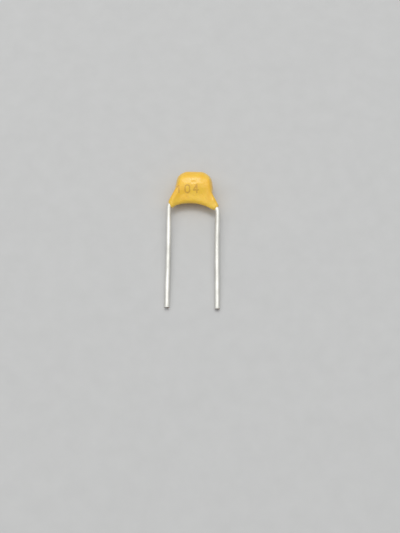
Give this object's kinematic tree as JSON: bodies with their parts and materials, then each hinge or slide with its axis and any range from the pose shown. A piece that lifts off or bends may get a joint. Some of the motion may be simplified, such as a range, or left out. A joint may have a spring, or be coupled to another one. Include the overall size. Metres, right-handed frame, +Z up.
{
  "type": "multilayer ceramic capacitor",
  "caption": "Radial-leaded ceramic capacitor: a glossy yellow-orange dipped coat over a layered chip, with two straight tinned wire leads at 5.08 mm pitch.",
  "frame": {"origin": "middle of the footprint, on the surface that the part lies on", "axes": "+Z up, away from the surface; +Y along the part from the lead tips towards the top of the coat; +X across the two leads, to the right when seen from the lead tips"},
  "size_m": [0.0056, 0.0152, 0.0025],
  "materials": {
    "coat": "glossy dipped epoxy",
    "tinned_wire": "satin tin plate",
    "ceramic": "fired, matt",
    "plates": "sintered nickel",
    "end_cap": "tin plate",
    "solder": "bright solder"
  },
  "bodies": {
    "root": {"epoxy_coating": "coat", "lead_left": "tinned_wire", "lead_right": "tinned_wire", "ceramic_chip": "ceramic", "electrodes_left": "plates", "electrodes_right": "plates", "termination_left": "end_cap", "termination_right": "end_cap", "solder_left": "solder", "solder_right": "solder"}
  },
  "joints": []
}
